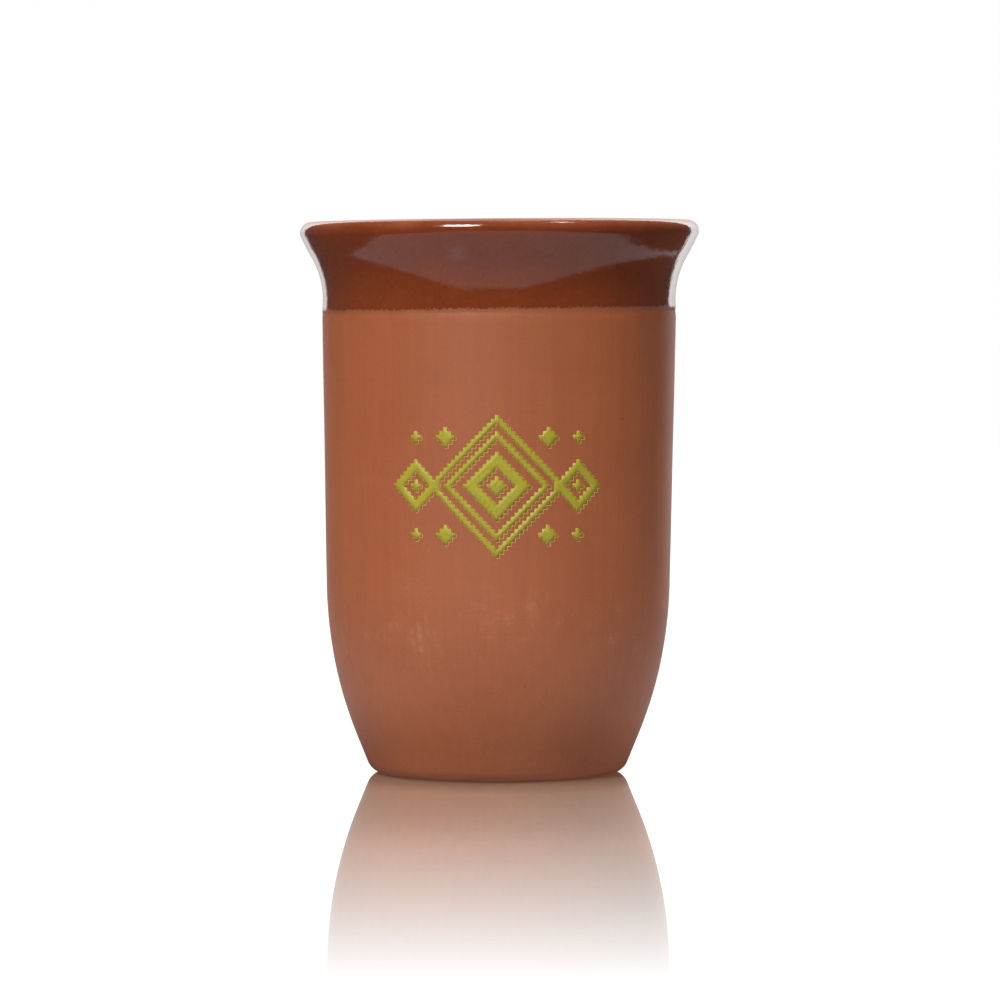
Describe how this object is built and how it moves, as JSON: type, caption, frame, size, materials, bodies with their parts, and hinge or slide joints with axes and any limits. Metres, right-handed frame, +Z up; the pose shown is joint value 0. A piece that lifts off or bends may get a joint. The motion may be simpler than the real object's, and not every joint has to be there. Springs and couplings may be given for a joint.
{
  "type": "clay cup",
  "caption": "Tall round earthenware drinking cup with a drawn-in foot, a gently waisted neck and a flared lip, glazed inside and dipped in brown glaze over the rim.",
  "frame": {"origin": "centre of the foot, on the surface that the cup stands on", "axes": "+Z up along the cup's axis; the printed front faces -Y, and +X is to the right of it"},
  "size_m": [0.0866, 0.0866, 0.12],
  "materials": {
    "earthenware": "matte",
    "lining_glaze": "gloss",
    "rim_glaze": "gloss",
    "ceramic_ink": "matte"
  },
  "bodies": {
    "root": {"clay_body": "earthenware", "inner_glaze": "lining_glaze", "rim_glaze": "rim_glaze"}
  },
  "joints": []
}
